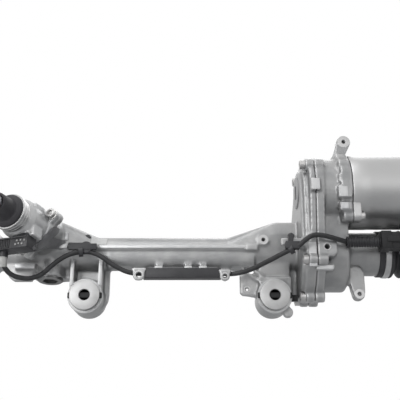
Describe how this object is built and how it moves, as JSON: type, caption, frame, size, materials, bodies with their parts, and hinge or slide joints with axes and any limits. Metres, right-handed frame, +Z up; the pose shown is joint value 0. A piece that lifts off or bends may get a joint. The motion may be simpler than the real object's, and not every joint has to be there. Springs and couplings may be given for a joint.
{
  "type": "steering gear",
  "caption": "Electric power steering gear: rack and pinion in a cast aluminium housing, with a belt-driven ball nut, a motor beside the rack, boots and inner tie rods.",
  "frame": {"origin": "midway between the two mounting bolt bores, on the front faces of their bushes", "axes": "+X along the rack towards the motor end, -Y out of the front where the pinion shaft points, +Z up from the mounting bolts to the rack"},
  "size_m": [1.187, 0.2094, 0.2197],
  "materials": {
    "cast_aluminium": "die-cast, lightly blasted",
    "machined_aluminium": "machined",
    "motor_can_steel": "satin drawn can",
    "steel": "ground steel",
    "dark_steel": "phosphated steel",
    "zinc_steel": "zinc-plated steel",
    "stainless": "bright stainless band",
    "black_plastic": "moulded plastic",
    "grey_plastic": "moulded plastic",
    "white_plastic": "moulded liner",
    "rubber": "soft rubber",
    "boot_rubber": "smooth rubber",
    "cable_jacket": "cable jacket",
    "copper": "enamelled copper",
    "board_green": "circuit board"
  },
  "bodies": {
    "root": {"rack_housing": "cast_aluminium", "gear_case": "cast_aluminium", "sensor_housing": "machined_aluminium", "sensor_unit": "black_plastic", "sensor_connector": "black_plastic", "tower_bolts": "zinc_steel", "dust_cap": "black_plastic", "shaft_seal": "rubber", "pinion_bearings": "steel", "yoke": "machined_aluminium", "yoke_spring": "dark_steel", "yoke_plug": "dark_steel", "yoke_ring": "rubber", "rack_bushing": "black_plastic", "bush_sleeve_left": "zinc_steel", "bush_sleeve_right": "zinc_steel", "bush_rubber_left": "rubber", "bush_rubber_right": "rubber", "flange_bolts": "zinc_steel", "nut_bearing": "steel", "bearing_lock_ring": "dark_steel", "motor_can": "motor_can_steel", "stator": "copper", "motor_bearings": "steel", "ecu_housing": "cast_aluminium", "ecu_cover": "black_plastic", "ecu_board": "board_green", "ecu_connectors": "grey_plastic", "drive_belt": "rubber", "shaft_end_cover": "machined_aluminium", "breather": "black_plastic", "sensor_cable": "cable_jacket", "cable_channel": "black_plastic", "cable_clips": "black_plastic", "cable_conduit": "black_plastic", "cable_plug": "black_plastic", "boot_left": "boot_rubber", "boot_right": "boot_rubber", "boot_clamp_left": "stainless", "boot_clamp_right": "stainless"},
    "rack": {"rack": "steel", "ball_socket_left": "dark_steel", "ball_socket_right": "dark_steel"},
    "pinion": {"pinion_shaft": "steel", "torsion_bar": "dark_steel"},
    "input": {"input_shaft": "steel"},
    "nut": {"ball_nut": "steel", "nut_pulley": "black_plastic", "nut_balls": "steel"},
    "rotor": {"motor_rotor": "dark_steel", "motor_pulley": "steel"},
    "seat_left": {"ball_seat_left": "white_plastic"},
    "seat_right": {"ball_seat_right": "white_plastic"},
    "rod_left": {"tie_rod_left": "dark_steel", "lock_nut_left": "zinc_steel", "rod_clamp_left": "stainless"},
    "rod_right": {"tie_rod_right": "dark_steel", "lock_nut_right": "zinc_steel", "rod_clamp_right": "stainless"}
  },
  "joints": [
    {"name": "motor_spin", "type": "hinge", "parent": "root", "child": "rotor", "pos_m": [0.2, -0.007, 0.125], "axis": [1, 0, 0], "range_deg": [-9741.18, 9741.18]},
    {"name": "nut_spin", "type": "hinge", "parent": "root", "child": "nut", "pos_m": [0.2, 0.025, 0.0555], "axis": [1, 0, 0], "range_deg": [-3610, 3610]},
    {"name": "rack_slide", "type": "slide", "parent": "root", "child": "rack", "axis": [1, 0, 0], "range_m": [-0.0702, 0.0702], "deforming": ["boot_left", "boot_right"]},
    {"name": "pinion_spin", "type": "hinge", "parent": "root", "child": "pinion", "pos_m": [-0.159, 0.02672, 0.07191], "axis": [-0.342, -0.9345, 0.0982], "range_deg": [-420, 420]},
    {"name": "torsion_twist", "type": "hinge", "parent": "pinion", "child": "input", "pos_m": [-0.1761, -0.02, 0.07682], "axis": [-0.342, -0.9345, 0.0982], "range_deg": [-4.5, 4.5], "stiffness_Nm_per_rad": 115},
    {"name": "seat_left_swing", "type": "hinge", "parent": "rack", "child": "seat_left", "pos_m": [-0.353, 0.025, 0.0555], "axis": [0, 1, 0], "range_deg": [-20, 20]},
    {"name": "rod_left_swing", "type": "hinge", "parent": "seat_left", "child": "rod_left", "pos_m": [-0.353, 0.025, 0.0555], "axis": [0, 0, 1], "range_deg": [-20, 20]},
    {"name": "seat_right_swing", "type": "hinge", "parent": "rack", "child": "seat_right", "pos_m": [0.364, 0.025, 0.0555], "axis": [0, 1, 0], "range_deg": [-20, 20]},
    {"name": "rod_right_swing", "type": "hinge", "parent": "seat_right", "child": "rod_right", "pos_m": [0.364, 0.025, 0.0555], "axis": [0, 0, 1], "range_deg": [-20, 20]}
  ],
  "couplings": [
    {"joint": "rack_slide", "follows": "motor_spin", "m_per_rad": -0.00041173},
    {"joint": "nut_spin", "follows": "motor_spin", "ratio": 0.36957},
    {"joint": "pinion_spin", "follows": "motor_spin", "ratio": -0.042989}
  ]
}
